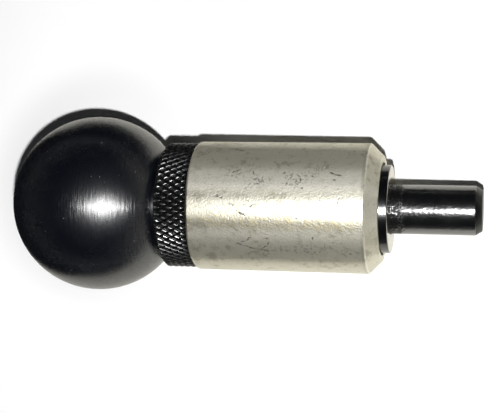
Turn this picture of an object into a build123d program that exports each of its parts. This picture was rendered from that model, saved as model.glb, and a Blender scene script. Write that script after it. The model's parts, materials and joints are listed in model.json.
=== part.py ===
from build123d import *

import math
import os

# Weld-mount indexing plunger with a ball knob, in millimetres.
#
# Row frame: +X runs along the plunger's axis towards the locking tip, and +Z is up.
# x = 0 is the weld sleeve's front face, the plane that meets the machine it is welded to.
# Every piece but the spring is turned, so it is a half section revolved about the X axis.
# The plunger stands at rest, with its pin fully out and the knob down on the head.

# --- weld sleeve: plain round steel, welded on by its chamfered end ---
SLEEVE_DIAMETER = 25.4
SLEEVE_LENGTH = 36.5
WELD_LAND = 1.27
SLEEVE_EDGE_BREAK = 0.35

# --- 3/4-16 body thread, drawn plain at its pitch diameter ---
BODY_THREAD_DIAMETER = 18.02
BODY_THREAD_CHAMFER = 0.6
THREAD_RELIEF_DEPTH = 0.71
THREAD_RELIEF_WIDTH = 2.2

# --- barrel: knurled head, threaded shank and nose, turned from one bar ---
HEAD_DIAMETER = 24.8
HEAD_LENGTH = 7.25
HEAD_BACK_CHAMFER = 1.45
HEAD_FRONT_CHAMFER = 0.45
KNURL_PITCH = 1.39
KNURL_DEPTH = 0.55
KNURL_HELIX_ANGLE = 30.0
NOSE_STEP = 0.46
NOSE_LENGTH = 4.4
NOSE_STAND_OUT = 1.6
NOSE_CHAMFER = 0.55
GUIDE_LENGTH = 7.6
GUIDE_MOUTH_BREAK = 0.25

# --- locking pin with its collar and stem, one turned piece ---
PIN_DIAMETER = 9.525
PIN_STAND_OUT = 19.05
PIN_TIP_CHAMFER = 0.85
GREASE_GROOVE_WIDTH = 1.0
GREASE_GROOVE_DEPTH = 0.25
GREASE_GROOVE_INSET = 0.1
COLLAR_LENGTH = 2.5
COLLAR_EDGE_BREAK = 0.3
STEM_DIAMETER = 7.94
STEM_THREAD_STEP = 0.46
STEM_THREAD_LENGTH = 12.0
STEM_THREAD_CHAMFER = 0.8

# --- end bush: pressed into the head, guides the stem and backs the spring ---
BUSH_SHOULDER = 1.15
BUSH_LENGTH = 6.0
BUSH_RECESS = 0.1
BUSH_EDGE_BREAK = 0.4

# --- compression spring, its ends closed and ground flat ---
SPRING_WIRE = 1.2
SPRING_ACTIVE_TURNS = 6
SPRING_END_TURNS = 1
SPRING_COIL_GAP = 0.05
SPRING_EASING_TURNS = 0.3
SPRING_POINTS_PER_TURN = 12

# --- ball knob, moulded round a threaded insert ---
KNOB_DIAMETER = 34.92
KNOB_FLAT_DIAMETER = 21.55
INSERT_DIAMETER = 12.0
INSERT_END_WALL = 1.6
INSERT_RECESS = 0.1
INSERT_GROOVE_WIDTH = 3.0
INSERT_GROOVE_DEPTH = 0.8
INSERT_MOUTH_CHAMFER = 0.5
INSERT_THREAD_RUNOUT = 1.4

# --- clearances between pieces, on the radius or along the axis as named ---
THREAD_RADIAL_CLEARANCE = 0.02
GUIDE_RADIAL_CLEARANCE = 0.03
BUSH_RADIAL_CLEARANCE = 0.04
COLLAR_RADIAL_CLEARANCE = 0.1
SPRING_OUTER_CLEARANCE = 0.45
SPRING_INNER_CLEARANCE = 0.73
COLLAR_STOP_GAP = 0.3
SPRING_SEAT_GAP = 0.05
KNOB_SEAT_GAP = 0.0

# --- radii that follow from the sizes above, from the axis outwards ---
GUIDE_RADIUS = PIN_DIAMETER / 2 + GUIDE_RADIAL_CLEARANCE
STEM_THREAD_RADIUS = STEM_DIAMETER / 2 - STEM_THREAD_STEP
SPRING_MEAN_RADIUS = STEM_DIAMETER / 2 + SPRING_INNER_CLEARANCE + SPRING_WIRE / 2
CHAMBER_RADIUS = SPRING_MEAN_RADIUS + SPRING_WIRE / 2 + SPRING_OUTER_CLEARANCE
COLLAR_RADIUS = CHAMBER_RADIUS - COLLAR_RADIAL_CLEARANCE
BUSH_RADIUS = CHAMBER_RADIUS + BUSH_SHOULDER
THREAD_RADIUS = BODY_THREAD_DIAMETER / 2
SLEEVE_BORE_RADIUS = THREAD_RADIUS + THREAD_RADIAL_CLEARANCE

# --- stations along the axis that pieces share ---
HEAD_FRONT_X = -SLEEVE_LENGTH
HEAD_BACK_X = HEAD_FRONT_X - HEAD_LENGTH
GUIDE_BACK_X = NOSE_STAND_OUT - GUIDE_LENGTH
COLLAR_FRONT_X = GUIDE_BACK_X - COLLAR_STOP_GAP
COLLAR_BACK_X = COLLAR_FRONT_X - COLLAR_LENGTH
BUSH_BACK_X = HEAD_BACK_X + BUSH_RECESS
BUSH_FRONT_X = BUSH_BACK_X + BUSH_LENGTH
KNOB_FLAT_X = HEAD_BACK_X - KNOB_SEAT_GAP
KNOB_CENTRE_X = KNOB_FLAT_X - math.sqrt(KNOB_DIAMETER ** 2 - KNOB_FLAT_DIAMETER ** 2) / 2
INSERT_FACE_X = KNOB_FLAT_X - INSERT_RECESS
STEM_END_X = INSERT_FACE_X - STEM_THREAD_LENGTH
INSERT_HOLE_END_X = STEM_END_X - INSERT_THREAD_RUNOUT
INSERT_BACK_X = INSERT_HOLE_END_X - INSERT_END_WALL

# --- how far the knob pulls the pin: until its tip is flush with the nose ---
STROKE = PIN_STAND_OUT - NOSE_STAND_OUT


def turned(outline):
    """The solid that a closed outline of (x, radius) corners sweeps about the X axis."""
    return revolve(make_face(Polyline(*outline, close=True)), axis=Axis.X)


def weld_sleeve():
    outer = SLEEVE_DIAMETER / 2
    bore = SLEEVE_BORE_RADIUS
    back = -SLEEVE_LENGTH
    # the weld's fillet fills a 45 degree chamfer, which leaves a narrow land round the bore
    land = bore + WELD_LAND
    return turned([
        (back, bore + BODY_THREAD_CHAMFER),
        (back, outer - SLEEVE_EDGE_BREAK),
        (back + SLEEVE_EDGE_BREAK, outer),
        (land - outer, outer),
        (0, land),
        (0, bore),
        (back + BODY_THREAD_CHAMFER, bore),
    ])


def twisted_teeth(twist):
    """A serrated bar over the head's length, twisted by some degrees: one hand of the knurl."""
    teeth = round(math.pi * HEAD_DIAMETER / KNURL_PITCH)
    crest = HEAD_DIAMETER / 2
    corners = []
    for step in range(2 * teeth):
        radius = crest if step % 2 == 0 else crest - KNURL_DEPTH
        angle = math.pi * step / teeth
        corners.append((HEAD_BACK_X, radius * math.cos(angle), radius * math.sin(angle)))
    section = make_face(Polyline(*corners, close=True)).face()
    start = Vector(HEAD_BACK_X, 0, 0)
    return Solid.extrude_linear_with_rotation(section, start, Vector(HEAD_LENGTH, 0, 0), twist)


def knurled_head():
    """The head: two opposite twists cross in diamonds, and both chamfers cut through them."""
    head = HEAD_DIAMETER / 2
    blank = turned([
        (HEAD_BACK_X, 0),
        (HEAD_BACK_X, head - HEAD_BACK_CHAMFER),
        (HEAD_BACK_X + HEAD_BACK_CHAMFER, head),
        (HEAD_FRONT_X - HEAD_FRONT_CHAMFER, head),
        (HEAD_FRONT_X, head - HEAD_FRONT_CHAMFER),
        (HEAD_FRONT_X, 0),
    ])
    twist = math.degrees(HEAD_LENGTH * math.tan(math.radians(KNURL_HELIX_ANGLE)) / head)
    return blank & twisted_teeth(twist) & twisted_teeth(-twist)


def barrel():
    relief = THREAD_RADIUS - THREAD_RELIEF_DEPTH
    relief_front_x = HEAD_FRONT_X + THREAD_RELIEF_WIDTH
    nose = THREAD_RADIUS - NOSE_STEP
    nose_back_x = NOSE_STAND_OUT - NOSE_LENGTH
    shank = turned([
        (HEAD_FRONT_X, 0),
        (HEAD_FRONT_X, relief),
        (relief_front_x, relief),
        (relief_front_x + THREAD_RELIEF_DEPTH, THREAD_RADIUS),
        (nose_back_x - NOSE_STEP, THREAD_RADIUS),
        (nose_back_x, nose),
        (NOSE_STAND_OUT - NOSE_CHAMFER, nose),
        (NOSE_STAND_OUT, nose - NOSE_CHAMFER),
        (NOSE_STAND_OUT, 0),
    ])
    bores = turned([
        (HEAD_BACK_X, 0),
        (HEAD_BACK_X, BUSH_RADIUS),
        (BUSH_FRONT_X, BUSH_RADIUS),
        (BUSH_FRONT_X, CHAMBER_RADIUS),
        (GUIDE_BACK_X, CHAMBER_RADIUS),
        (GUIDE_BACK_X, GUIDE_RADIUS),
        (NOSE_STAND_OUT - GUIDE_MOUTH_BREAK, GUIDE_RADIUS),
        (NOSE_STAND_OUT, GUIDE_RADIUS + GUIDE_MOUTH_BREAK),
        (NOSE_STAND_OUT, 0),
    ])
    return knurled_head() + shank - bores


def end_bush():
    hole = STEM_DIAMETER / 2 + BUSH_RADIAL_CLEARANCE
    return turned([
        (BUSH_BACK_X, hole + BUSH_EDGE_BREAK),
        (BUSH_BACK_X, BUSH_RADIUS),
        (BUSH_FRONT_X - BUSH_EDGE_BREAK, BUSH_RADIUS),
        (BUSH_FRONT_X, BUSH_RADIUS - BUSH_EDGE_BREAK),
        (BUSH_FRONT_X, hole),
        (BUSH_BACK_X + BUSH_EDGE_BREAK, hole),
    ])


def plunger_pin():
    pin = PIN_DIAMETER / 2
    stem = STEM_DIAMETER / 2
    # the groove carries grease just inside the guide's mouth, and never shows past the nose
    groove = pin - GREASE_GROOVE_DEPTH
    groove_front_x = NOSE_STAND_OUT - GREASE_GROOVE_INSET
    groove_back_x = groove_front_x - GREASE_GROOVE_WIDTH
    return turned([
        (STEM_END_X, 0),
        (STEM_END_X, STEM_THREAD_RADIUS - STEM_THREAD_CHAMFER),
        (STEM_END_X + STEM_THREAD_CHAMFER, STEM_THREAD_RADIUS),
        (INSERT_FACE_X, STEM_THREAD_RADIUS),
        (INSERT_FACE_X, stem),
        (COLLAR_BACK_X, stem),
        (COLLAR_BACK_X, COLLAR_RADIUS - COLLAR_EDGE_BREAK),
        (COLLAR_BACK_X + COLLAR_EDGE_BREAK, COLLAR_RADIUS),
        (COLLAR_FRONT_X - COLLAR_EDGE_BREAK, COLLAR_RADIUS),
        (COLLAR_FRONT_X, COLLAR_RADIUS - COLLAR_EDGE_BREAK),
        (COLLAR_FRONT_X, pin),
        (groove_back_x, pin),
        (groove_back_x, groove),
        (groove_front_x, groove),
        (groove_front_x, pin),
        (PIN_STAND_OUT - PIN_TIP_CHAMFER, pin),
        (PIN_STAND_OUT, pin - PIN_TIP_CHAMFER),
        (PIN_STAND_OUT, 0),
    ])


def spring_length():
    """The spring's length as assembled, between the bush and the pin's collar."""
    return COLLAR_BACK_X - BUSH_FRONT_X - 2 * SPRING_SEAT_GAP


def coil_rise(turn):
    """How far the wire has climbed after so many turns: closed, open, then closed again."""
    turns = SPRING_ACTIVE_TURNS + 2 * SPRING_END_TURNS
    closed_pitch = SPRING_WIRE + SPRING_COIL_GAP
    closed_rise = closed_pitch * SPRING_END_TURNS
    if turn < SPRING_END_TURNS:
        return closed_pitch * turn
    if turn > turns - SPRING_END_TURNS:
        return spring_length() - closed_pitch * (turns - turn)
    open_rise = spring_length() - 2 * closed_rise
    return closed_rise + open_rise * (turn - SPRING_END_TURNS) / SPRING_ACTIVE_TURNS


def eased_rise(turn):
    """coil_rise averaged over a short arc, so that the pitch changes without a kink."""
    turns = SPRING_ACTIVE_TURNS + 2 * SPRING_END_TURNS
    reach = min(SPRING_EASING_TURNS / 2, turn, turns - turn)
    samples = 8
    steps = [turn + reach * (2 * step / samples - 1) for step in range(samples + 1)]
    return sum(coil_rise(step) for step in steps) / len(steps)


def spring():
    turns = SPRING_ACTIVE_TURNS + 2 * SPRING_END_TURNS
    start_x = BUSH_FRONT_X + SPRING_SEAT_GAP
    points = []
    for index in range(turns * SPRING_POINTS_PER_TURN + 1):
        turn = index / SPRING_POINTS_PER_TURN
        angle = 2 * math.pi * turn
        points.append((
            start_x + eased_rise(turn),
            SPRING_MEAN_RADIUS * math.cos(angle),
            SPRING_MEAN_RADIUS * math.sin(angle),
        ))
    coil = Spline(*points)
    wire_section = Plane(origin=coil @ 0, z_dir=coil % 0) * Circle(SPRING_WIRE / 2)
    wire = sweep(wire_section, path=coil, is_frenet=True)
    # the wire's centre starts and ends on the seats, so half of it is ground away there
    seats = Cylinder(CHAMBER_RADIUS, spring_length(), rotation=(0, 90, 0))
    return wire & Pos(start_x + spring_length() / 2, 0, 0) * seats


def insert_outline():
    """The insert's outside, which the knob is moulded on: a collar, a groove and a collar."""
    outer = INSERT_DIAMETER / 2
    groove = outer - INSERT_GROOVE_DEPTH
    middle_x = (INSERT_FACE_X + INSERT_BACK_X) / 2
    return [
        (INSERT_BACK_X, outer),
        (middle_x - INSERT_GROOVE_WIDTH / 2, outer),
        (middle_x - INSERT_GROOVE_WIDTH / 2, groove),
        (middle_x + INSERT_GROOVE_WIDTH / 2, groove),
        (middle_x + INSERT_GROOVE_WIDTH / 2, outer),
        (INSERT_FACE_X, outer),
    ]


def knob_insert():
    thread = STEM_THREAD_RADIUS + THREAD_RADIAL_CLEARANCE
    return turned([
        (INSERT_BACK_X, 0),
        *insert_outline(),
        (INSERT_FACE_X, thread + INSERT_MOUTH_CHAMFER),
        (INSERT_FACE_X - INSERT_MOUTH_CHAMFER, thread),
        (INSERT_HOLE_END_X, thread),
        (INSERT_HOLE_END_X, 0),
    ])


def ball_knob():
    ball = Pos(KNOB_CENTRE_X, 0, 0) * Sphere(KNOB_DIAMETER / 2, rotation=(0, -90, 0))
    in_front_of_flat = Pos(KNOB_FLAT_X, 0, 0) * Box(
        KNOB_DIAMETER, KNOB_DIAMETER, KNOB_DIAMETER, align=(Align.MIN, Align.CENTER, Align.CENTER)
    )
    cavity = turned([
        (INSERT_BACK_X, 0),
        *insert_outline(),
        (KNOB_FLAT_X, INSERT_DIAMETER / 2),
        (KNOB_FLAT_X, 0),
    ])
    return ball - in_front_of_flat - cavity


PIECES = {
    "weld_sleeve": weld_sleeve,
    "barrel": barrel,
    "end_bush": end_bush,
    "plunger_pin": plunger_pin,
    "spring": spring,
    "knob_insert": knob_insert,
    "ball_knob": ball_knob,
}

os.makedirs("parts", exist_ok=True)
for name, build in PIECES.items():
    export_step(build(), f"parts/{name}.step")

compressed = spring_length() - STROKE
solid_height = SPRING_WIRE * (SPRING_ACTIVE_TURNS + 2 * SPRING_END_TURNS)
print(f"stroke {STROKE:.2f}, spring {spring_length():.2f} down to {compressed:.2f}")
print(f"spring's solid height {solid_height:.2f}, knob centre x {KNOB_CENTRE_X:.2f}")
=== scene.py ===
import contextlib
import json
import math

import bmesh
import bpy
from mathutils import Matrix, Vector


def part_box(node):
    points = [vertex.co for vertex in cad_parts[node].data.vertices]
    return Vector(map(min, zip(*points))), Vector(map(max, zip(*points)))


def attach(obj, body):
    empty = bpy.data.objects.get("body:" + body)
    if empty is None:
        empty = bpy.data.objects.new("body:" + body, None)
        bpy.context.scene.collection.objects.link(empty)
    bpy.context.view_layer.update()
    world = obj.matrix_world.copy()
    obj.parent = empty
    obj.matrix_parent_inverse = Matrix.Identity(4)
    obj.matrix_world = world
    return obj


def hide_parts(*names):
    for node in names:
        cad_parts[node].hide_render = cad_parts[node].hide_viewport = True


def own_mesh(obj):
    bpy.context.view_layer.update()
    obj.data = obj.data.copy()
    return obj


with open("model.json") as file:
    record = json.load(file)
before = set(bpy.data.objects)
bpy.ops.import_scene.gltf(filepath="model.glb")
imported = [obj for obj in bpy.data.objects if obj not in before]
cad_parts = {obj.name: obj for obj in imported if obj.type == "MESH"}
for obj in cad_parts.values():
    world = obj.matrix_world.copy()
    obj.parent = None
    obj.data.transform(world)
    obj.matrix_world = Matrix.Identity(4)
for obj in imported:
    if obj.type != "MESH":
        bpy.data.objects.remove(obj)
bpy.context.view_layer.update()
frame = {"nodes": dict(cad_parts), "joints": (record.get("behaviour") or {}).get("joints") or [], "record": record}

bl_info = {
    "name": "Weld-mount indexing plunger",
    "version": (1, 0, 0),
    "blender": (4, 5, 0),
    "location": "View3D > Sidebar > Plunger",
    "description": "Turns the plunger's pieces round the packed model and lays them out for a picture",
    "category": "Object",
}

MM = 0.001
AXIS = (1, 0, 0)
SPIN_STEPS = 144
MERGE = 0.0005 * MM
KNURL_CREST = Vector((-39.95 * MM, 0, 0))
KNURL_TURN = math.radians(2.9)
KNURL_CLEAR = 0.02 * MM

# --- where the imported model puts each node, in metres ---
SLEEVE_LOW, SLEEVE_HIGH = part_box("weld_sleeve")
BARREL_LOW, BARREL_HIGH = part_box("barrel")
PIN_LOW, PIN_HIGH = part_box("plunger_pin")
KNOB_LOW, KNOB_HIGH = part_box("ball_knob")
BUSH_LOW, BUSH_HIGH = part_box("end_bush")
INSERT_LOW, INSERT_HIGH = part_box("knob_insert")
SPRING_LOW, SPRING_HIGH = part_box("spring")
MOUNTS = {mount["name"]: mount for mount in frame["record"]["mounts"]}
PIN_RADIUS = MOUNTS["locking_pin"]["dims"]["r_mm"] * MM
STROKE = next(joint["range_m"][1] for joint in frame["joints"] if joint["name"] == "pull")


def size(name, default, description):
    """A length that a user may change, in metres."""
    return bpy.props.FloatProperty(
        name=name, description=description, default=default, min=0.0, precision=5, unit="LENGTH"
    )


def tint(name, default, description):
    """A linear colour that a user may change."""
    return bpy.props.FloatVectorProperty(
        name=name, description=description, default=default, min=0.0, max=1.0, size=3, subtype="COLOR"
    )


def share(name, default, description):
    """A share from 0 to 1 that a user may change."""
    return bpy.props.FloatProperty(
        name=name, description=description, default=default, min=0.0, max=1.0, subtype="FACTOR"
    )


class PlungerSizes(bpy.types.PropertyGroup):
    """Sizes of the turned pieces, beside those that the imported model's boxes give."""

    edge: size("Soft edge", 0.09 * MM, "How wide each sharp turned edge is rounded")
    sleeve_bore: size("Sleeve bore radius", 9.03 * MM, "Radius of the hole through the weld sleeve")
    weld_land: size("Weld land", 1.27 * MM, "Width of the flat ring left at the sleeve's front")
    sleeve_break: size("Sleeve edge break", 0.35 * MM, "Small chamfer round the sleeve's back edge")
    thread_chamfer: size("Bore chamfer", 0.6 * MM, "Chamfer where the sleeve's bore meets its back")
    shank: size("Shank radius", 9.01 * MM, "Radius of the barrel's threaded shank")
    relief_depth: size("Relief depth", 0.71 * MM, "How deep the relief behind the head is")
    relief_width: size("Relief width", 2.2 * MM, "How wide the relief behind the head is")
    head_back: size("Head back chamfer", 1.45 * MM, "Chamfer on the head's knob side")
    head_front: size("Head front chamfer", 0.45 * MM, "Chamfer on the head's sleeve side")
    knurl_depth: size("Knurl depth", 0.33 * MM, "Height of the knurl's diamonds")
    knurl_row: size("Knurl row", 1.19 * MM, "Half of a diamond's length along the axis")
    nose_step: size("Nose step", 0.46 * MM, "How much less the nose's radius is than the shank's")
    nose_length: size("Nose length", 4.4 * MM, "Length of the plain nose")
    nose_chamfer: size("Nose chamfer", 0.16 * MM, "Chamfer round the nose's front")
    guide_length: size("Guide length", 7.6 * MM, "Length of the bore that guides the pin")
    guide_gap: size("Guide gap", 0.03 * MM, "Clearance between the pin and its guide")
    guide_mouth: size("Guide mouth", 0.25 * MM, "Chamfer at the mouth of the guide")
    chamber: size("Spring chamber radius", 6.35 * MM, "Radius of the bore that holds the spring")
    tip_chamfer: size("Pin tip chamfer", 0.85 * MM, "How far the chamfer at the pin's tip goes in")
    tip_slope: size("Pin tip chamfer length", 1.3 * MM, "How far the chamfer at the pin's tip goes back")
    groove_width: size("Grease groove width", 1.0 * MM, "Width of the groove round the pin")
    groove_depth: size("Grease groove depth", 0.25 * MM, "Depth of the groove round the pin")
    groove_inset: size("Grease groove inset", 0.1 * MM, "How far the groove lies inside the nose")
    collar_gap: size("Collar gap", 0.3 * MM, "Gap between the pin's collar and the guide")
    collar_length: size("Collar length", 2.5 * MM, "Length of the collar that the spring pushes")
    collar_break: size("Collar edge break", 0.3 * MM, "Chamfer round the collar's edges")
    stem: size("Stem radius", 3.97 * MM, "Radius of the stem that carries the knob")
    stem_step: size("Stem thread step", 0.46 * MM, "How much less the stem's threaded end is")
    stem_chamfer: size("Stem end chamfer", 0.8 * MM, "Chamfer at the stem's threaded end")
    knob_edge: size("Knob flat edge", 0.35 * MM, "Rounding where the ball meets its flat")
    insert_groove: size("Insert groove width", 3.0 * MM, "Width of the groove that locks the insert")
    insert_depth: size("Insert groove depth", 0.8 * MM, "Depth of the groove that locks the insert")
    wire: size("Spring wire radius", 0.6 * MM, "Half the thickness of the spring's wire")
    coil_gap: size("Closed coil gap", 0.05 * MM, "Gap between the spring's closed end turns")
    knurl_teeth: bpy.props.IntProperty(
        name="Knurl teeth", description="Diamonds round the head", default=56, min=12
    )
    coils: bpy.props.IntProperty(
        name="Open turns", description="Turns of the spring between its closed ends", default=6, min=2
    )


class PlungerColours(bpy.types.PropertyGroup):
    """Colours and sheen of the finishes."""

    steel: tint("Bare steel", (0.68, 0.66, 0.56), "Clean bare steel")
    stain: tint("Steel stain", (0.45, 0.425, 0.34), "Oily stain on the bare steel")
    rust: tint("Rust", (0.58, 0.48, 0.24), "Thin rust on the bare steel")
    oxide: tint("Black oxide", (0.0015, 0.0018, 0.002), "Blackened steel")
    worn: tint("Worn oxide", (0.06, 0.06, 0.058), "Blackened steel where it has rubbed bright")
    phenolic: tint("Ball", (0.0004, 0.0013, 0.0042), "Moulded ball")
    bright: tint("Bright rim", (0.50, 0.49, 0.46), "Steel rubbed bright on the nose's face")
    dust: tint("Dust", (0.30, 0.28, 0.24), "Dust and lint on the black pieces")
    spring: tint("Spring steel", (0.42, 0.41, 0.40), "Drawn spring wire")
    brass: tint("Brass", (0.72, 0.50, 0.22), "Insert in the ball")
    sheet: tint("Sheet", (0.90, 0.88, 0.80), "White sheet under the plunger")
    table: tint("Table", (0.018, 0.019, 0.022), "Dark table that the sheet lies on")
    steel_roughness: share("Steel roughness", 0.47, "Roughness of the bare steel")
    oxide_roughness: share("Oxide roughness", 0.20, "Roughness of the blackened steel")
    ball_roughness: share("Ball roughness", 0.27, "Roughness of the ball")


# --- materials: a wrapped socket, and a builder that makes the nodes ---


class Socket:
    """A value inside a material. Arithmetic on it adds Math nodes."""

    def __init__(self, finish, output):
        self.finish = finish
        self.output = output

    def math(self, operation, *others):
        return self.finish.add("Math", {"operation": operation}, dict(enumerate((self, *others))))

    def __add__(self, other):
        return self.math("ADD", other)

    def __sub__(self, other):
        return self.math("SUBTRACT", other)

    def __mul__(self, other):
        return self.math("MULTIPLY", other)

    def __truediv__(self, other):
        return self.math("DIVIDE", other)

    def __pow__(self, other):
        return self.math("POWER", other)

    def __abs__(self):
        return self.math("ABSOLUTE")

    def __rsub__(self, other):
        return self.finish.add("Math", {"operation": "SUBTRACT"}, {0: other, 1: self})

    __radd__ = __add__
    __rmul__ = __mul__

    def rise(self, start, end):
        """0 up to start and 1 from end on, with a smooth change between them. It falls if end is first."""
        settings = {"interpolation_type": "SMOOTHSTEP"}
        inputs = {"Value": self, "From Min": start, "From Max": end, "To Min": 0.0, "To Max": 1.0}
        if start > end:
            inputs.update({"From Min": end, "From Max": start, "To Min": 1.0, "To Max": 0.0})
        return self.finish.add("MapRange", settings, inputs)


class Finish:
    """One material under construction."""

    def __init__(self, name, material=None):
        self.material = material or bpy.data.materials.new(name)
        self.material.use_nodes = True
        self.tree = self.material.node_tree
        self.tree.nodes.clear()
        self.place = self.add("TexCoord", output="Object")

    def add(self, kind, settings=None, inputs=None, output=0):
        """Adds a node: first its settings, then its sockets' values or links."""
        node = self.tree.nodes.new("ShaderNode" + kind)
        for key, value in (settings or {}).items():
            setattr(node, key, value)
        for key, value in (inputs or {}).items():
            if isinstance(value, Socket):
                self.tree.links.new(value.output, node.inputs[key])
            else:
                node.inputs[key].default_value = value
        return Socket(self, node.outputs[output])

    def part(self, axis):
        """One of the object coordinates: X, Y or Z."""
        return self.add("SeparateXYZ", None, {"Vector": self.place}, axis)

    def noise(self, grain, detail=2.0, roughness=0.5, distortion=0.0, stretch=(1, 1, 1), seed=0.0):
        """Noise with a grain in metres. A stretch under 1 draws it out along that axis."""
        at = self.add("Mapping", None, {"Vector": self.place, "Scale": stretch, "Location": (seed, seed, 0)})
        inputs = {
            "Vector": at, "Scale": 1 / grain,
            "Detail": detail, "Roughness": roughness, "Distortion": distortion,
        }
        return self.add("TexNoise", None, inputs, "Fac")

    def specks(self, spacing, seed=0.0):
        """Distance to the nearest of some scattered points, as a share of their spacing."""
        at = self.add("Mapping", None, {"Vector": self.place, "Location": (seed, seed, seed)})
        return self.add("TexVoronoi", None, {"Vector": at, "Scale": 1 / spacing}, "Distance")

    def strokes(self, along, around, marks, soft=0.5):
        """How deep in any of some oval marks a place of an unrolled surface is: see SLEEVE_MARKS.

        Each mark also takes in the one before, at no weight, so that a renderer works them out one by one.
        """
        deepest = 0.0
        for x, turn, length, width, lean, strength in marks:
            place = self.add("CombineXYZ", None, {0: along, 1: around, 2: deepest})
            inside = self.add("Mapping", {"vector_type": "TEXTURE"}, {
                "Vector": place, "Location": (x * MM, turn * MM, 0), "Rotation": (0, 0, math.radians(lean)),
                "Scale": (length * MM / 2, width * MM / 2, 1e6),
            })
            off = self.add("VectorMath", {"operation": "LENGTH"}, {0: inside}, "Value")
            depth = off.rise(1.0 + soft / 2, 1.0 - soft) * strength
            deepest = depth.math("MAXIMUM", deepest)
        return deepest

    def mix(self, factor, first, second):
        """A colour between two colours."""
        colours = [(*c, 1.0) if not isinstance(c, Socket) else c for c in (first, second)]
        inputs = {0: factor, 6: colours[0], 7: colours[1]}
        return self.add("Mix", {"data_type": "RGBA"}, inputs, 2)

    def bump(self, height, depth, below=None):
        """A normal from a height of 0 to 1 that stands for a depth in metres."""
        inputs = {"Height": height, "Distance": depth, "Strength": 1.0}
        if below is not None:
            inputs["Normal"] = below
        return self.add("Bump", None, inputs)

    def bounced(self):
        """1 for a ray that comes off a glossy surface or through a clear one."""
        glossy = self.add("LightPath", output="Is Glossy Ray")
        return glossy.math("MAXIMUM", self.add("LightPath", output="Is Transmission Ray"))

    def leaned(self, normal, lean):
        """A normal that leans a little along a vector."""
        longer = self.add("VectorMath", {"operation": "ADD"}, {0: normal, 1: lean})
        return self.add("VectorMath", {"operation": "NORMALIZE"}, {0: longer})

    def shader(self, **sockets):
        """A Principled shader with these sockets."""
        inputs = {key.replace("_", " "): value for key, value in sockets.items()}
        if not isinstance(inputs["Base Color"], Socket):
            inputs["Base Color"] = (*inputs["Base Color"], 1.0)
        return self.add("BsdfPrincipled", None, inputs)

    def surface(self, **sockets):
        """Ends the material in one Principled shader, and returns the material."""
        self.add_output(self.shader(**sockets))
        return self.material

    def add_output(self, shader, kind="Material"):
        node = self.tree.nodes.new("ShaderNodeOutput" + kind)
        self.tree.links.new(shader.output, node.inputs["Surface"])


# How far the ball's reflections lean, along the axis and across it: one narrow reflection for each.
BALL_LEANS = ((-0.04, 0), (-0.14, 0), (0.06, 0), (-0.24, 0), (0.15, 0), (-0.04, -0.07), (-0.04, 0.07))
# Pale clean steel for light scratches, also the colour of the painted highlights and painted reflection on the
# sleeve.
CLEAN_STEEL_AND_PAINTED_HIGHLIGHT = (0.95, 0.93, 0.85)
# Dark of knocks and scratches, also the colour of a painted shade line on the sleeve.
KNOCK_DARK_AND_PAINTED_SHADE = (0.05, 0.045, 0.04)
# How softly the knurl's two slopes meet, how much each swells, and how rough they are.
KNURL_HIP = 0.25
KNURL_SWELL = (3.0, 2.3)
KNURL_ROUGHNESS = 0.28


def turned_lines(finish, pitch):
    """Fine rings that a lathe tool leaves round the X axis."""
    return finish.noise(pitch, detail=3.0, roughness=0.6, stretch=(1, 0.02, 0.02))


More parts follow.
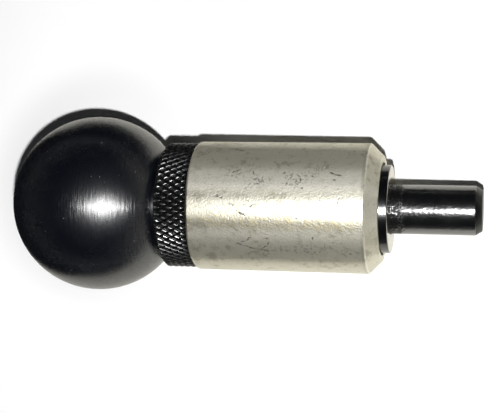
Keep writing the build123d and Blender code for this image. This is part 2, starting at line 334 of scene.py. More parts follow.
# Knocks and scratches on the sleeve: where along the axis, how far round, length, width (mm), lean (degrees)
# and how dark. A light one is below 0.
SLEEVE_MARKS = (
    (-8.5, 6.8, 1.2, 0.42, -18, 0.9), (-7.3, 6.4, 1.6, 0.34, -8, 0.85), (-8.0, 5.4, 0.7, 0.5, 25, 0.7),
    (-5.6, 7.0, 0.9, 0.25, 25, -0.5), (-5.6, 6.2, 0.9, 0.35, 35, -0.6), (-10.1, 8.0, 0.7, 0.3, 65, -0.6),
    (-10.5, 7.8, 1.6, 0.22, 80, 0.35), (-11.5, 7.7, 3.2, 0.2, 90, 0.35), (-11.0, 7.4, 3.0, 0.2, 90, 0.3),
    (-13.5, 6.2, 0.6, 0.4, 0, 0.6), (-12.1, 6.1, 0.5, 0.35, 0, 0.65), (-14.8, 6.1, 1.0, 0.35, -50, 0.8),
    (-14.4, 5.3, 0.8, 0.35, -70, 0.75), (-15.2, 5.0, 1.0, 0.3, 80, 0.5), (-14.0, 3.6, 0.6, 0.4, -20, 0.7),
    (-17.6, 6.7, 0.7, 0.45, 30, 0.65), (-17.0, 4.4, 0.6, 0.4, 30, 0.6), (-17.3, 5.7, 0.6, 0.35, -40, 0.4),
    (-15.0, 4.4, 0.8, 0.35, 20, 0.5), (-27.3, 6.9, 0.9, 0.4, 30, 0.7), (-26.6, 7.1, 1.1, 0.35, 12, 0.7),
    (-23.5, 6.7, 1.0, 0.35, -75, 0.65), (-24.3, 7.1, 0.6, 0.3, 75, 0.3), (-28.3, 7.2, 0.7, 0.4, -35, 0.4),
    (-27.6, 6.0, 0.5, 0.35, 30, 0.45), (-26.5, 6.1, 0.6, 0.3, 20, 0.4), (-22.6, 4.4, 0.6, 0.4, 30, 0.55),
    (-24.8, 3.5, 0.6, 0.4, 0, 0.4), (-23.8, 3.6, 0.5, 0.35, 40, 0.35), (-31.3, 4.0, 0.5, 0.4, 15, 0.35),
    (-26.9, 12.8, 1.7, 0.4, -3, 0.6), (-20.3, 5.3, 0.6, 0.4, -55, 0.4), (-30.3, 1.9, 1.0, 0.32, -15, 0.6),
    (-29.5, 1.6, 0.8, 0.45, -5, 0.7), (-27.4, 0.35, 1.5, 0.35, -14, 0.5), (-25.0, 0.3, 0.8, 0.35, -5, 0.35),
    (-23.7, 0.1, 1.5, 0.3, 22, 0.6), (-24.2, 0.9, 0.7, 0.25, -45, 0.4), (-25.6, -1.35, 0.9, 0.35, -23, 0.9),
    (-25.0, -1.65, 0.8, 0.35, -40, 0.8), (-26.4, -0.85, 0.3, 0.3, 0, 0.4), (-34.2, -0.2, 0.3, 0.3, 0, 0.35),
    (-33.6, 1.9, 0.6, 0.25, 70, 0.3), (-33.1, 2.2, 0.8, 0.25, 15, 0.25), (-7.1, 1.0, 0.7, 0.35, 80, 0.5),
    (-6.9, 1.7, 0.8, 0.28, 72, 0.3), (-9.7, 1.25, 0.6, 0.25, 10, 0.3), (-14.9, -2.25, 0.6, 0.35, 8, 0.5),
    (-25.4, -7.1, 1.2, 0.35, 5, 0.6), (-24.4, -6.6, 0.95, 0.35, 40, 0.7), (-24.1, -6.25, 0.5, 0.4, -25, 0.6),
    (-26.2, -7.75, 1.2, 0.4, -15, 0.55), (-24.2, -8.4, 2.8, 0.3, -18, 0.6), (-23.6, -8.65, 0.7, 0.45, -18, 0.5),
    (-23.7, -9.6, 1.1, 0.4, 10, 0.35), (-20.7, -6.4, 0.6, 0.4, -18, 0.6), (-20.5, -7.4, 0.9, 0.35, 70, 0.6),
    (-21.3, -8.25, 1.4, 0.35, 22, 0.7), (-20.8, -9.1, 1.2, 0.4, -10, 0.4), (-11.9, -6.05, 0.9, 0.38, 75, 0.75),
    (-8.1, -6.9, 0.5, 0.28, 20, 0.4), (-5.0, -9.5, 0.6, 0.45, -40, 0.6), (-3.7, -9.0, 1.7, 0.3, -25, 0.35),
    (-13.0, -9.2, 0.7, 0.45, 35, 0.4), (-18.2, -8.5, 1.8, 0.3, 85, 0.35), (-9.8, -7.5, 1.1, 0.28, 75, 0.35),
    (-31.4, -4.5, 0.5, 0.5, 0, -0.3), (-2.3, 4.4, 0.35, 0.35, 0, 0.6), (-2.35, 7.4, 0.35, 0.5, 0, 0.6),
    (-2.3, 0.6, 0.3, 0.5, 0, 0.6), (-2.35, -5.2, 0.3, 0.5, 0, 0.4),
)
# Where fine dark specks gather on the sleeve: along the axis, how far round, length and width (mm).
SPECK_PATCHES = (
    (-15.6, 5.4, 5.0, 3.6), (-27.0, 6.3, 5.5, 2.4), (-12.2, 6.8, 3.2, 2.2), (-21.6, -9.4, 6.0, 2.6),
    (-22.6, 5.0, 5.0, 3.0), (-13.0, -8.8, 8.0, 3.0),
)


def bare_steel(colours):
    """Bare turned steel that has lain about: mottled, with knocks, scratches, specks and old oil, and with a
    painted reflection on its upper side and painted highlights and shade at the front chamfer.
    """
    finish = Finish("bare_steel")
    outer = SLEEVE_HIGH.z
    length, across, up = (finish.part(axis) for axis in (0, 1, 2))
    around = across.math("ARCTAN2", up) * outer
    clouds = finish.noise(5 * MM, detail=4.0, roughness=0.6, distortion=0.4)
    blotches = finish.noise(1.6 * MM, detail=5.0, roughness=0.65, seed=0.3)
    grain = finish.noise(0.42 * MM, detail=2.5, roughness=0.6)
    specks = finish.noise(0.50 * MM, detail=2.0, roughness=0.5, seed=0.8)
    wobble = finish.add("Mapping", None, {"Vector": finish.place, "Scale": (1 / MM, 1 / MM, 1 / MM)})
    wobble = finish.add("TexNoise", None, {"Vector": wobble, "Scale": 1.6, "Detail": 2.0}, "Color")
    wobble = finish.add("VectorMath", {"operation": "SUBTRACT"}, {0: wobble, 1: (0.5, 0.5, 0.5)})
    wobble = finish.add("VectorMath", {"operation": "SCALE"}, {0: wobble, "Scale": 0.7 * MM})
    place = (
        length + finish.add("SeparateXYZ", None, {0: wobble}, 0),
        around + finish.add("SeparateXYZ", None, {0: wobble}, 1),
    )
    dark = finish.strokes(*place, [mark for mark in SLEEVE_MARKS if mark[-1] > 0])
    light = finish.strokes(*place, [(*mark[:-1], -mark[-1]) for mark in SLEEVE_MARKS if mark[-1] < 0])
    gathered = finish.strokes(*place, [(*patch, 0, 1.0) for patch in SPECK_PATCHES], soft=0.9)
    dark = dark.math("MAXIMUM", specks.rise(0.50, 0.66) * gathered * 0.55)
    dark = dark.math("MAXIMUM", specks.rise(0.62, 0.74) * 0.25)
    stained = (clouds.rise(0.46, 0.70) * 0.4 + blotches.rise(0.48, 0.70) * 0.6).rise(0.08, 0.75)
    rusty = length.rise(-2.6 * MM, -3.6 * MM) * around.rise(-5.0 * MM, -3.6 * MM)
    rusty = rusty * around.rise(-1.0 * MM, -2.6 * MM) * grain.rise(0.44, 0.60)
    colour = finish.mix(stained * 0.8, colours.steel, colours.stain)
    past_edge = length - (SLEEVE_HIGH.x - 2.4 * MM)
    # The middle of the front chamfer is painted lighter: a painted highlight.
    middle = past_edge.rise(0, 0.1 * MM) * abs(around).rise(6 * MM, 3 * MM)
    # A band on the sleeve's upper side is painted lighter: a painted reflection of soft light from above.
    painted_upper_reflection = around.rise(2.5 * MM, 4 * MM) * around.rise(8.5 * MM, 6.5 * MM) * past_edge.rise(0, -1 * MM)
    colour = finish.mix(painted_upper_reflection * 0.45 + middle * 0.7, colour, CLEAN_STEEL_AND_PAINTED_HIGHLIGHT)
    colour = finish.mix(rusty * 0.6, colour, colours.rust)
    fine = finish.noise(0.24 * MM, detail=2.0, roughness=0.6, seed=0.35)
    colour = finish.mix(fine.rise(0.50, 0.80) * 0.45, colour, colours.stain)
    colour = finish.mix(light, colour, CLEAN_STEEL_AND_PAINTED_HIGHLIGHT)
    colour = finish.mix(dark * 0.9, colour, KNOCK_DARK_AND_PAINTED_SHADE)
    rough = colours.steel_roughness + (grain - 0.5) * 0.10 + (clouds - 0.5) * 0.12
    rough = rough - around.rise(0.5 * MM, 1.5 * MM) * 0.05 + around.rise(1.8 * MM, 3.6 * MM) * 0.20
    rough = rough + around.rise(4 * MM, 7 * MM) * 0.07
    rough = rough - around.rise(-1.0 * MM, -3.0 * MM) * 0.09 + around.rise(-3.2 * MM, -6.0 * MM) * 0.21
    rough = rough - around.rise(12.4 * MM, 13.6 * MM) * 0.20 - around.rise(16 * MM, 24 * MM) * 0.10
    rough = rough - around.rise(-10 * MM, -12.5 * MM) * 0.20
    rough = rough - middle * 0.06
    # A painted highlight line just past the edge where the cylinder meets the front chamfer.
    painted_edge_highlight = past_edge.rise(0.02 * MM, 0.10 * MM) * past_edge.rise(0.36 * MM, 0.22 * MM)
    colour = finish.mix(painted_edge_highlight * 0.45, colour, CLEAN_STEEL_AND_PAINTED_HIGHLIGHT)
    # A painted shade line on the cylinder just before that edge.
    painted_edge_shade = past_edge.rise(-0.6 * MM, -0.4 * MM) * past_edge.rise(0.0, -0.1 * MM)
    colour = finish.mix(painted_edge_shade * 0.12, colour, KNOCK_DARK_AND_PAINTED_SHADE)
    normal = finish.bump(grain + blotches * 0.8 - dark * 0.8, 3.5e-5)
    return finish.surface(Base_Color=colour, Metallic=1.0, Roughness=rough, Normal=normal)


def ground_oxide(colours):
    """Blackened ground steel, a little pitted, so that highlights break up along their edges."""
    finish = Finish("ground_oxide")
    pits = finish.noise(0.50 * MM, detail=1.5, roughness=0.5)
    patches = finish.noise(2.4 * MM, detail=4.0, roughness=0.6, seed=0.2)
    lint = finish.specks(1.3 * MM, seed=0.4).rise(0.085, 0.05) * patches.rise(0.5, 0.62)
    colour = finish.mix(patches.rise(0.5, 0.85) * 0.25, colours.oxide, colours.worn)
    colour = finish.mix(lint * 0.5, colour, colours.dust)
    rough = colours.oxide_roughness + (patches - 0.5) * 0.10 + lint * 0.2
    glints = finish.noise(0.34 * MM, detail=2.0, seed=0.7)
    past_nose = finish.part(0) - BARREL_HIGH.x + (patches + glints * 2 - 1.5) * 1.8 * MM
    eaten = past_nose.rise(2.6 * MM, 1.8 * MM) * 2.0 + past_nose.rise(9 * MM, 2 * MM) * 0.4
    normal = finish.bump(pits + glints * eaten + lint * 0.3, 4.6e-5)
    oily = past_nose.rise(-2 * MM, -1 * MM) * past_nose.rise(2.8 * MM, 1.8 * MM) * glints.rise(0.60, 0.53)
    oily = oily.math("MAXIMUM", finish.part(0).rise(PIN_HIGH.x - 1.25 * MM, PIN_HIGH.x - 1.15 * MM) * 0.75)
    bright = finish.shader(Base_Color=colour, Roughness=rough, IOR=2.4, Normal=normal)
    dull = finish.shader(Base_Color=colour, Roughness=0.5, IOR=1.3)
    finish.add_output(finish.add("MixShader", None, {0: oily, 1: bright, 2: dull}))
    return finish.material


def knurled_oxide(colours, sizes):
    """Blackened steel. On the head it rounds the knurl's diamonds and brightens their tips."""
    finish = Finish("knurled_oxide")
    pits = finish.noise(0.22 * MM, detail=3.0, roughness=0.6)
    patches = finish.noise(0.8 * MM, detail=4.0, roughness=0.6, seed=0.2)
    length, across, up = (finish.part(axis) for axis in (0, 1, 2))
    along = (length - KNURL_CREST.x) / sizes.knurl_row
    around = ((0 - across).math("ARCTAN2", up) - KNURL_TURN) * (sizes.knurl_teeth / math.pi)
    first, second = (along + around).math("PINGPONG", 1.0), (along - around).math("PINGPONG", 1.0)
    uneven = 0.65 + finish.noise(1.3 * MM, detail=1.0, seed=0.6) * 0.7
    first, second = first ** KNURL_SWELL[0] * uneven, second ** KNURL_SWELL[1]
    off_tip = first.math("SMOOTH_MAX", second, KNURL_HIP)
    radius = (across * across + up * up) ** 0.5
    head, mist = BARREL_HIGH.z + KNURL_CLEAR, 0.03 * MM
    back, front = BARREL_LOW.x + sizes.head_back, SLEEVE_LOW.x - sizes.head_front
    between = (radius - length).rise(head - back + 1.1 * MM, head - back + 0.2 * MM)
    between = between * (radius + length).rise(head + front, head + front - mist)
    on_head = between * radius.rise(head - 2 * sizes.knurl_depth - mist, head - 2 * sizes.knurl_depth)
    diamonds = (1 - off_tip) * on_head
    rubbed = off_tip.rise(0.12, 0.0) * on_head
    colour = finish.mix(rubbed * 0.3 + patches.rise(0.6, 0.9) * 0.2, colours.oxide, colours.worn)
    face = length.rise(BARREL_HIGH.x - 0.10 * MM, BARREL_HIGH.x - 0.03 * MM)
    face = face * (1 - patches.rise(0.62, 0.80) * 0.5)
    colour = finish.mix(face, colour, colours.bright)
    rough = colours.oxide_roughness + on_head * (KNURL_ROUGHNESS - 0.2) + (patches - 0.5) * 0.12
    normal = finish.bump(diamonds + pits * (1.0e-5 / sizes.knurl_depth), sizes.knurl_depth)
    return finish.surface(Base_Color=colour, Metallic=face, Roughness=rough, IOR=1.8, Normal=normal)


def polished_phenolic(colours):
    """Moulded black phenolic, polished on a lathe: its hairlines spread a highlight along the axis."""
    finish = Finish("polished_phenolic")
    rings = finish.noise(0.28 * MM, detail=2.0, roughness=0.7, stretch=(1, 0.07, 0.07))
    patches = finish.noise(3 * MM, detail=4.0, roughness=0.6, seed=0.1)
    motes = finish.specks(1.4 * MM, seed=0.2).rise(0.11, 0.05) * patches.rise(0.48, 0.6)
    rough = colours.ball_roughness + (patches - 0.5) * 0.05 + motes * 0.2
    fine = finish.noise(0.20 * MM, detail=2.0, seed=0.9)
    film = fine.rise(0.45, 0.75) * finish.noise(5 * MM, detail=3.0, seed=0.7).rise(0.42, 0.62)
    colour = finish.mix(film * 0.025 + motes * 0.8, colours.phenolic, colours.dust)
    normal = finish.bump(rings + motes * 0.1 + fine * 0.12, 5.4e-5)
    spread = None
    for count, lean in enumerate(BALL_LEANS, 1):
        facing = finish.leaned(normal, (*lean, 0))
        lobe = finish.shader(Base_Color=colour, Roughness=rough, IOR=1.95, Normal=facing)
        spread = finish.add("MixShader", None, {0: 1 / count, 1: spread, 2: lobe}) if spread else lobe
    finish.add_output(spread)
    return finish.material


def turned_metal(name, colour, roughness, pitch):
    """Plain turned metal, with lathe lines and faint tarnish."""
    finish = Finish(name)
    lines = turned_lines(finish, pitch)
    tarnish = finish.noise(1.5 * MM, detail=4.0, roughness=0.6, seed=0.5)
    dull = tuple(channel * 0.55 for channel in colour)
    rough = roughness + (tarnish - 0.5) * 0.2
    shade = finish.mix(tarnish.rise(0.4, 0.75) * 0.6, tuple(colour), dull)
    return finish.surface(Base_Color=shade, Metallic=1.0, Roughness=rough, Normal=finish.bump(lines, 3e-6))


# --- modelling helpers ---


@contextlib.contextmanager
def edit_mode():
    """Everything inside is done to the active object in edit mode."""
    bpy.ops.object.mode_set(mode="EDIT")
    bpy.ops.mesh.select_mode(type="VERT")
    bpy.ops.mesh.select_all(action="SELECT")
    yield
    bpy.ops.object.mode_set(mode="OBJECT")


def started(name, primitive, **settings):
    """Adds a primitive with nothing else selected, and applies its place."""
    bpy.ops.object.select_all(action="DESELECT")
    primitive(**settings)
    piece = bpy.context.active_object
    piece.name = piece.data.name = name
    bpy.ops.object.transform_apply(location=True, rotation=True, scale=True)
    return piece


def only(piece):
    """Makes a piece the only one selected, and the active one."""
    bpy.ops.object.select_all(action="DESELECT")
    piece.select_set(True)
    bpy.context.view_layer.objects.active = piece


def pick(piece, wanted):
    """In edit mode, selects the vertices whose place passes a test."""
    bpy.ops.mesh.select_all(action="DESELECT")
    mesh = bmesh.from_edit_mesh(piece.data)
    for vertex in mesh.verts:
        vertex.select = wanted(vertex.co)
    mesh.select_flush_mode()
    bmesh.update_edit_mesh(piece.data)


def pick_edges(piece, wanted):
    """In edit mode, selects the edges whose two ends pass a test."""
    bpy.ops.mesh.select_all(action="DESELECT")
    mesh = bmesh.from_edit_mesh(piece.data)
    for edge in mesh.edges:
        edge.select = wanted(edge.verts[0].co, edge.verts[1].co)
    mesh.select_flush_mode()
    bmesh.update_edit_mesh(piece.data)


def turned(name, outline, steps=SPIN_STEPS):
    """A turned piece: its half section is drawn corner by corner, then spun about the X axis."""
    x, radius = outline[0]
    piece = started(name, bpy.ops.mesh.primitive_plane_add, size=MM, location=(x, 0, radius))
    with edit_mode():
        bpy.ops.mesh.merge(type="CENTER")
        for (x, radius), (next_x, next_radius) in zip(outline, outline[1:]):
            step = (next_x - x, 0, next_radius - radius)
            bpy.ops.mesh.extrude_region_move(TRANSFORM_OT_translate={"value": step})
        bpy.ops.mesh.select_all(action="SELECT")
        bpy.ops.mesh.spin(steps=steps, angle=math.tau, center=(0, 0, 0), axis=AXIS)
        bpy.ops.mesh.select_all(action="SELECT")
        bpy.ops.mesh.remove_doubles(threshold=MERGE)
        bpy.ops.mesh.normals_make_consistent(inside=False)
    return piece


def ring(outline):
    """The outline of a hollow piece, closed on its first corner."""
    return [*outline, outline[0]]


def applied(piece, kind, **settings):
    """Adds a modifier with its settings and applies it."""
    only(piece)
    modifier = piece.modifiers.new(kind.title(), kind)
    for key, value in settings.items():
        setattr(modifier, key, value)
    bpy.ops.object.modifier_apply(modifier=modifier.name)


def softened(piece, width, segments=3, angle=28):
    """Rounds a piece's sharp edges and shades it smooth between them."""
    applied(
        piece, "BEVEL", width=width, segments=segments, limit_method="ANGLE",
        angle_limit=math.radians(angle), use_clamp_overlap=True,
    )
    bpy.ops.object.shade_smooth_by_angle(angle=math.radians(40))
    applied(piece, "WEIGHTED_NORMAL", keep_sharp=True, weight=50)


def finished(piece, material, body, slot, *nodes):
    """Gives a piece its material and its body in the frame, and hides the nodes it stands for. Its slot is not
    used.
    """
    piece.data.materials.clear()
    piece.data.materials.append(material)
    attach(piece, body)
    if nodes:
        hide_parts(*nodes)


# --- the pieces ---


class PLUNGER_OT_weld_sleeve(bpy.types.Operator):
    """Turns the plain steel sleeve that is welded to a machine"""

    bl_idname = "plunger.weld_sleeve"
    bl_label = "Weld sleeve"

    def execute(self, context):
        sizes, colours = context.scene.plunger_sizes, context.scene.plunger_colours
        outer, bore = SLEEVE_HIGH.z, sizes.sleeve_bore
        back, front = SLEEVE_LOW.x, SLEEVE_HIGH.x
        land = bore + sizes.weld_land
        sleeve = turned("sleeve", ring([
            (back, bore + sizes.thread_chamfer),
            (back, outer - sizes.sleeve_break),
            (back + sizes.sleeve_break, outer),
            (front - (outer - land), outer),
            (front, land),
            (front, bore),
            (back + sizes.thread_chamfer, bore),
        ]))
        softened(sleeve, sizes.edge)
        finished(sleeve, bare_steel(colours), "housing", "sleeve_steel", "weld_sleeve")
        return {"FINISHED"}


class PLUNGER_OT_barrel(bpy.types.Operator):
    """Turns the barrel with its nose and shank, and rolls the knurl on its head"""

    bl_idname = "plunger.barrel"
    bl_label = "Knurled barrel"

    def execute(self, context):
        sizes, colours = context.scene.plunger_sizes, context.scene.plunger_colours
        barrel = self.blank(sizes)
        applied(
            barrel, "BEVEL", width=0.06 * MM, segments=2,
            limit_method="ANGLE", angle_limit=math.radians(24),
        )
        bar = self.knurled_bar(sizes)
        applied(barrel, "BOOLEAN", operation="INTERSECT", solver="EXACT", object=bar)
        bpy.data.objects.remove(bar)
        bpy.ops.object.shade_smooth_by_angle(angle=math.radians(40))
        with edit_mode():
            pick_edges(barrel, lambda one, other: self.on_corner(sizes, one) or self.on_corner(sizes, other))
            bpy.ops.mesh.mark_sharp(clear=True)
        finished(barrel, knurled_oxide(colours, sizes), "housing", "barrel_black_oxide", "barrel")
        return {"FINISHED"}

    def on_corner(self, sizes, place):
        """Whether a place is at a corner of the knurl's diamonds, which the finish rounds."""
        row, column = self.cell(sizes, place, KNURL_TURN)
        around = KNURL_TURN + column * math.pi / sizes.knurl_teeth
        radius = BARREL_HIGH.z - (sizes.knurl_depth if (row + column) % 2 else 0)
        length = KNURL_CREST.x + row * sizes.knurl_row
        corner = Vector((length, -radius * math.sin(around), radius * math.cos(around)))
        return (place - corner).length < 0.02 * MM

    def blank(self, sizes):
        """The barrel as turned, before its head is knurled."""
        head, head_back, head_front = BARREL_HIGH.z + KNURL_CLEAR, BARREL_LOW.x, SLEEVE_LOW.x
        relief = sizes.shank - sizes.relief_depth
        relief_front = head_front + sizes.relief_width
        nose, tip = sizes.shank - sizes.nose_step, BARREL_HIGH.x
        nose_back = tip - sizes.nose_length
        guide, guide_back = PIN_RADIUS + sizes.guide_gap, tip - sizes.guide_length
        return turned("barrel_turned", ring([
            (head_back, BUSH_HIGH.z),
            (head_back, head - sizes.head_back),
            (head_back + sizes.head_back, head),
            (head_front - sizes.head_front, head),
            (head_front, head - sizes.head_front),
            (head_front, relief),
            (relief_front, relief),
            (relief_front + sizes.relief_depth, sizes.shank),
            (nose_back - sizes.nose_step, sizes.shank),
            (nose_back, nose),
            (tip - sizes.nose_chamfer, nose),
            (tip, nose - sizes.nose_chamfer),
            (tip, guide + sizes.guide_mouth),
            (tip - sizes.guide_mouth, guide),
            (guide_back, guide),
            (guide_back, sizes.chamber),
            (BUSH_HIGH.x, sizes.chamber),
            (BUSH_HIGH.x, BUSH_HIGH.z),
        ]), steps=4 * sizes.knurl_teeth)

    def knurled_bar(self, sizes):
        """A bar with diamonds over the head's length, and plain past it."""
        rows = math.ceil((SLEEVE_LOW.x - BARREL_LOW.x) / sizes.knurl_row) + 2
        back = KNURL_CREST.x - 2 * sizes.knurl_row
        front = back + rows * sizes.knurl_row
        crest = BARREL_HIGH.z
        valley = crest - sizes.knurl_depth
        bar = started(
            "knurled_bar", bpy.ops.mesh.primitive_cylinder_add, vertices=2 * sizes.knurl_teeth, radius=crest,
            depth=front - back, location=((back + front) / 2, 0, 0), rotation=(0, math.pi / 2, 0),
        )
        with edit_mode():
            for cut in range(1, rows):
                bpy.ops.mesh.select_all(action="SELECT")
                bpy.ops.mesh.bisect(plane_co=(back + cut * sizes.knurl_row, 0, 0), plane_no=AXIS)
            pick(bar, lambda place: sum(self.cell(sizes, place, 0.0)) % 2 == 1)
            bpy.ops.transform.resize(value=(1, valley / crest, valley / crest), center_override=(0, 0, 0))
            bpy.ops.mesh.select_all(action="SELECT")
            bpy.ops.mesh.quads_convert_to_tris(quad_method="SHORTEST_DIAGONAL")
            for end, far in ((back, BARREL_LOW.x - MM - back), (front, BARREL_HIGH.x + MM - front)):
                pick(bar, lambda place: abs(place.x - end) < MERGE)
                bpy.ops.mesh.extrude_region_move(TRANSFORM_OT_translate={"value": (far, 0, 0)})
            bpy.ops.mesh.select_all(action="SELECT")
            bpy.ops.mesh.normals_make_consistent(inside=False)
            bpy.ops.transform.rotate(value=-KNURL_TURN, orient_axis="X", center_override=(0, 0, 0))
        return bar

    @staticmethod
    def cell(sizes, place, turn):
        """The whole row and column of the knurl's pattern that a place is nearest to."""
        around = math.atan2(-place.y, place.z) - turn
        return (
            round((place.x - KNURL_CREST.x) / sizes.knurl_row),
            round(around * sizes.knurl_teeth / math.pi),
        )


class PLUNGER_OT_plunger_pin(bpy.types.Operator):
    """Turns the locking pin with its collar and the stem that carries the knob"""

    bl_idname = "plunger.plunger_pin"
    bl_label = "Locking pin"

    def execute(self, context):
        sizes, colours = context.scene.plunger_sizes, context.scene.plunger_colours
        end, tip, collar = PIN_LOW.x, PIN_HIGH.x, PIN_HIGH.z
        thread = sizes.stem - sizes.stem_step
        collar_front = BARREL_HIGH.x - sizes.guide_length - sizes.collar_gap
        collar_back = collar_front - sizes.collar_length
        groove_front = BARREL_HIGH.x - sizes.groove_inset
        groove_back = groove_front - sizes.groove_width
        groove = PIN_RADIUS - sizes.groove_depth
        pin = turned("pin", [
            (end, 0),
            (end, thread - sizes.stem_chamfer),
            (end + sizes.stem_chamfer, thread),
            (INSERT_HIGH.x, thread),
            (INSERT_HIGH.x, sizes.stem),
            (collar_back, sizes.stem),
            (collar_back, collar - sizes.collar_break),
            (collar_back + sizes.collar_break, collar),
            (collar_front - sizes.collar_break, collar),
            (collar_front, collar - sizes.collar_break),
            (collar_front, PIN_RADIUS),
            (groove_back, PIN_RADIUS),
            (groove_back, groove),
            (groove_front, groove),
            (groove_front, PIN_RADIUS),
            (tip - sizes.tip_slope, PIN_RADIUS),
            (tip, PIN_RADIUS - sizes.tip_chamfer),
            (tip, 0),
        ])
        softened(pin, sizes.edge)
        finished(pin, ground_oxide(colours), "plunger", "pin_black_oxide", "plunger_pin")
        return {"FINISHED"}


class PLUNGER_OT_ball_knob(bpy.types.Operator):
    """Cuts the ball's flat and sinks the seat of its insert"""

    bl_idname = "plunger.ball_knob"
    bl_label = "Ball knob"

    def execute(self, context):
        sizes, colours = context.scene.plunger_sizes, context.scene.plunger_colours
        radius, flat = KNOB_HIGH.z, KNOB_HIGH.x
        seat = INSERT_HIGH.z
        middle = (INSERT_LOW.x + INSERT_HIGH.x) / 2
        groove_near, groove_far = middle + sizes.insert_groove / 2, middle - sizes.insert_groove / 2
        seat_wall = [
            (flat, seat), (groove_near, seat), (groove_near, seat - sizes.insert_depth),
            (groove_far, seat - sizes.insert_depth), (groove_far, seat), (INSERT_LOW.x, seat),
        ]
        ball = started(
            "ball", bpy.ops.mesh.primitive_uv_sphere_add, segments=160, ring_count=100, radius=radius,
            location=(KNOB_LOW.x + radius, 0, 0), rotation=(0, math.pi / 2, 0),
        )
        with edit_mode():
            bpy.ops.mesh.bisect(plane_co=(flat, 0, 0), plane_no=AXIS, clear_outer=True)
            pick(ball, lambda place: place.x > flat - MERGE)
            x, rim = flat, math.sqrt(radius ** 2 - (flat - KNOB_LOW.x - radius) ** 2)
            for next_x, next_rim in seat_wall:
                bpy.ops.mesh.extrude_edges_move(TRANSFORM_OT_translate={"value": (next_x - x, 0, 0)})
                scale = next_rim / rim
                bpy.ops.transform.resize(value=(1, scale, scale), center_override=(next_x, 0, 0))
                x, rim = next_x, next_rim
            bpy.ops.mesh.edge_face_add()
            pick(ball, lambda place: abs(place.x - flat) < MERGE and math.hypot(place.y, place.z) > seat + MM)
            bpy.ops.mesh.bevel(affect="EDGES", offset=sizes.knob_edge, segments=5)
            bpy.ops.mesh.select_all(action="SELECT")
            bpy.ops.mesh.normals_make_consistent(inside=False)
        bpy.ops.object.shade_smooth_by_angle(angle=math.radians(35))
        applied(ball, "WEIGHTED_NORMAL", keep_sharp=True, weight=50)
        finished(ball, polished_phenolic(colours), "plunger", "knob_phenolic", "ball_knob")
        return {"FINISHED"}


class PLUNGER_OT_spring(bpy.types.Operator):
    """Winds the compression spring, with its ends closed and ground flat"""

    bl_idname = "plunger.spring"
    bl_label = "Spring"

    def execute(self, context):
        sizes, colours = context.scene.plunger_sizes, context.scene.plunger_colours
        closed = 2 * sizes.wire + sizes.coil_gap
        length = SPRING_HIGH.x - SPRING_LOW.x
        open_pitch = (length - 2 * closed) / sizes.coils
        stretches, x = [], SPRING_LOW.x
        for pitch, turns in ((closed, 1), (open_pitch, sizes.coils), (closed, 1)):
            stretches.append(self.coil(sizes, x, pitch, turns))
            x += pitch * turns
        spring = stretches[0]
        only(spring)
        for other in stretches[1:]:
            other.select_set(True)
        bpy.ops.object.join()
        with edit_mode():
            bpy.ops.mesh.remove_doubles(threshold=0.002 * MM)
            for face_x, side in ((SPRING_LOW.x, -1), (SPRING_HIGH.x, 1)):
                bpy.ops.mesh.select_all(action="SELECT")
                bpy.ops.mesh.bisect(
                    plane_co=(face_x, 0, 0), plane_no=(side, 0, 0), clear_outer=True, use_fill=True
                )
            bpy.ops.mesh.select_all(action="SELECT")
            bpy.ops.mesh.normals_make_consistent(inside=False)
        bpy.ops.object.shade_smooth_by_angle(angle=math.radians(40))
        wire = turned_metal("spring_wire", colours.spring, 0.35, 0.4 * MM)
        finished(spring, wire, "spring", "spring_steel", "spring")
        (length - STROKE) / length
        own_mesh(spring)
        return {"FINISHED"}

    def coil(self, sizes, start, pitch, turns):
        """A round wire wound for some turns of one pitch."""
        mean = SPRING_HIGH.z - sizes.wire
        wire = started(
            "coil", bpy.ops.mesh.primitive_circle_add, vertices=14, radius=sizes.wire,
            location=(start, 0, mean), rotation=(math.pi / 2, 0, 0),
        )
        applied(
            wire, "SCREW", axis="X", angle=math.tau, steps=40, render_steps=40, screw_offset=pitch,
            iterations=turns, use_merge_vertices=True, merge_threshold=0.002 * MM,
        )
        return wire


class PLUNGER_OT_inner_metal(bpy.types.Operator):
    """Finishes the end bush and the knob's insert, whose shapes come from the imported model"""

    bl_idname = "plunger.inner_metal"
    bl_label = "Bush and insert"

    def execute(self, context):
        colours = context.scene.plunger_colours
        finishes = {
            "end_bush": turned_metal("bush_steel", (0.36, 0.35, 0.33), 0.34, 0.16 * MM),
            "knob_insert": turned_metal("insert_brass", colours.brass, 0.30, 0.16 * MM),
        }
        for node, material in finishes.items():
            frame["nodes"][node].data.materials.clear()
            frame["nodes"][node].data.materials.append(material)
        return {"FINISHED"}


# --- the stage ---

CAMERA_PLACE = Vector((27.67, -0.07, 251.94)) * MM
CAMERA_TILT = 12.12
CAMERA_ROLL = 1.18
CAMERA_LENS = 93.6
LAMP_OFFSET = Vector((0.0, -24.0, 0.0)) * MM
LAMP_WIDTH = 7 * MM
LAMP_POWER = 0.82
FLOOR_TILT = 5.01
FLOOR_SIZE = 8.0
SHEET_LOW = (-84 * MM, -78 * MM)
SHEET_HIGH = (260 * MM, 38 * MM)
SHEET_EDGE = 5 * MM
VIEW_LOW = (-101 * MM, -78 * MM)
VIEW_HIGH = (80 * MM, 38 * MM)
VIEW_EDGE = 45 * MM
SHEET_DIM = (-20 * MM, -80 * MM)
SHEET_GLOW = 0.16
BALL_FOOT = (-62 * MM, 3 * MM)
CLEAR_OF_SHADOW = (21 * MM, 31 * MM)
FAR_AWAY = (2.0, 3.0)
ROOM_OVERHEAD = (0.016, 0.017, 0.019)
ROOM_LOW = (0.030, 0.030, 0.027)
ROOM_BRIGHT = (0.90, 0.86, 0.72)


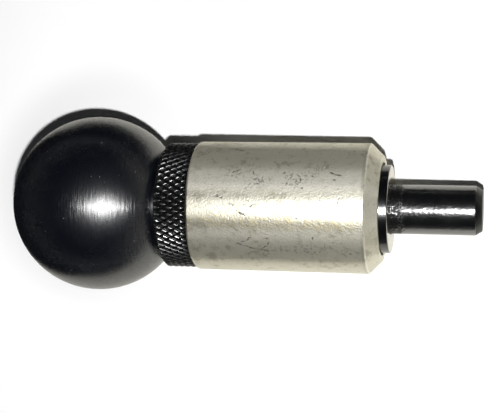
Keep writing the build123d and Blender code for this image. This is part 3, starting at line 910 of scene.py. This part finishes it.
class PLUNGER_OT_stage(bpy.types.Operator):
    """Lays the floor, and sets the lamp, the world and the camera"""

    bl_idname = "plunger.stage"
    bl_label = "Stage"

    def execute(self, context):
        self.camera(context)
        self.floor(context)
        self.lamp(context)
        self.world(context)
        context.scene.view_settings.view_transform = "Standard"
        return {"FINISHED"}

    def camera(self, context):
        bpy.ops.object.camera_add()
        camera = context.active_object
        tilt = Matrix.Rotation(math.radians(CAMERA_TILT), 4, "Y")
        roll = Matrix.Rotation(math.radians(CAMERA_ROLL), 4, "Z")
        camera.matrix_world = Matrix.Translation(CAMERA_PLACE) @ (tilt @ roll)
        camera.data.lens = CAMERA_LENS
        camera.data.sensor_width = 36
        camera.data.clip_start, camera.data.clip_end = 0.01, 20
        context.scene.camera = camera

    def floor(self, context):
        """The floor touches the ball and the sleeve's front corner, so it lies at a slant to the axis."""
        sizes, colours = context.scene.plunger_sizes, context.scene.plunger_colours
        outer = SLEEVE_HIGH.z
        corner = Vector((SLEEVE_HIGH.x - (outer - sizes.sleeve_bore - sizes.weld_land), 0, -outer))
        floor = started(
            "floor", bpy.ops.mesh.primitive_plane_add, size=FLOOR_SIZE, location=corner,
            rotation=(0, math.radians(-FLOOR_TILT), 0),
        )
        floor.data.materials.append(self.table_finish(colours))

    def table_finish(self, colours):
        """A white sheet under the plunger, on a table that shows white all round it and at the horizon."""
        finish = Finish("table")
        along, across = finish.part("X"), finish.part("Y")
        off_sheet = self.beyond(along, across, SHEET_LOW, SHEET_HIGH).rise(0.0, SHEET_EDGE)
        off_view = self.beyond(along, across, VIEW_LOW, VIEW_HIGH).rise(0.0, VIEW_EDGE)
        distant = ((along * along + across * across) ** 0.5).rise(*FAR_AWAY)
        straight = finish.add("LightPath", output="Is Camera Ray")
        bounced = finish.bounced()
        white = (off_view * straight).math("MAXIMUM", distant * bounced)
        colour = finish.mix(straight, finish.mix(off_sheet, colours.sheet, colours.table), (1, 1, 1))
        plain = finish.add("BsdfDiffuse", None, {"Color": colour})
        aside, above = along - BALL_FOOT[0], across - BALL_FOOT[1]
        clear = ((aside * aside + above * above) ** 0.5).rise(*CLEAR_OF_SHADOW)
        edge = along.rise(*SHEET_DIM) * clear * straight * SHEET_GLOW
        faint = finish.add("Emission", None, {"Color": (1, 1, 1, 1), "Strength": edge})
        glow = finish.add("Emission", None, {"Color": (1, 1, 1, 1), "Strength": 1.0})
        lit = finish.add("AddShader", None, {0: plain, 1: faint})
        finish.add_output(finish.add("MixShader", None, {0: white, 1: lit, 2: glow}))
        return finish.material

    @staticmethod
    def beyond(along, across, low, high):
        """How far a place of the floor lies outside a rectangle."""
        beyond_x = abs(along - (low[0] + high[0]) / 2) - (high[0] - low[0]) / 2
        beyond_y = abs(across - (low[1] + high[1]) / 2) - (high[1] - low[1]) / 2
        return beyond_x.math("MAXIMUM", beyond_y)

    def lamp(self, context):
        place = CAMERA_PLACE + LAMP_OFFSET
        aim = Vector((-28, 0, 0)) * MM
        bpy.ops.object.light_add(type="AREA", location=place)
        lamp = context.active_object
        lamp.name = "lamp"
        lamp.rotation_mode = "QUATERNION"
        lamp.rotation_quaternion = (aim - place).to_track_quat("-Z", "Y")
        lamp.data.shape = "DISK"
        lamp.data.size = LAMP_WIDTH
        lamp.data.energy = LAMP_POWER

    def world(self, context):
        """White for the camera, and for reflections close to the horizon. The room above is dim."""
        finish = Finish("room", bpy.data.worlds.new("room"))
        context.scene.world = finish.material
        way = finish.add("TexCoord", output="Generated")
        height = finish.add("SeparateXYZ", None, {"Vector": way}, "Z")
        side = finish.add("SeparateXYZ", None, {"Vector": way}, "X")
        low = finish.mix(side.rise(0.4, 0.95), ROOM_LOW, ROOM_BRIGHT)
        room = finish.mix(height.rise(0.1, 0.32), low, ROOM_OVERHEAD)
        straight = finish.add("LightPath", output="Is Camera Ray")
        bounced = finish.bounced()
        slope = math.tan(math.radians(FLOOR_TILT))
        above_floor = height - finish.add("SeparateXYZ", None, {"Vector": way}, "X") * slope
        white = straight.math("MAXIMUM", bounced * above_floor.rise(0.02, 0.005))
        back = finish.add("Background", None, {"Color": finish.mix(white, room, (1, 1, 1)), "Strength": 1.0})
        finish.add_output(back, "World")


class PLUNGER_PT_build(bpy.types.Panel):
    """Lists the plunger's pieces, sizes and colours"""

    bl_label = "Indexing plunger"
    bl_idname = "PLUNGER_PT_build"
    bl_space_type = "VIEW_3D"
    bl_region_type = "UI"
    bl_category = "Plunger"

    def draw(self, context):
        for operator in OPERATORS:
            self.layout.operator(operator.bl_idname)
        for group in (context.scene.plunger_sizes, context.scene.plunger_colours):
            box = self.layout.box()
            for name in group.bl_rna.properties.keys():
                if name not in ("rna_type", "name"):
                    box.prop(group, name)


OPERATORS = (
    PLUNGER_OT_weld_sleeve,
    PLUNGER_OT_barrel,
    PLUNGER_OT_plunger_pin,
    PLUNGER_OT_ball_knob,
    PLUNGER_OT_spring,
    PLUNGER_OT_inner_metal,
    PLUNGER_OT_stage,
)
CLASSES = (PlungerSizes, PlungerColours, *OPERATORS, PLUNGER_PT_build)


def register():
    for cls in CLASSES:
        bpy.utils.register_class(cls)
    bpy.types.Scene.plunger_sizes = bpy.props.PointerProperty(type=PlungerSizes)
    bpy.types.Scene.plunger_colours = bpy.props.PointerProperty(type=PlungerColours)


def unregister():
    del bpy.types.Scene.plunger_colours
    del bpy.types.Scene.plunger_sizes
    for cls in reversed(CLASSES):
        bpy.utils.unregister_class(cls)


def main():
    """Builds the plunger and its stage."""
    register()
    for operator in OPERATORS:
        family, name = operator.bl_idname.split(".")
        getattr(getattr(bpy.ops, family), name)()


if __name__ == "__main__":
    main()
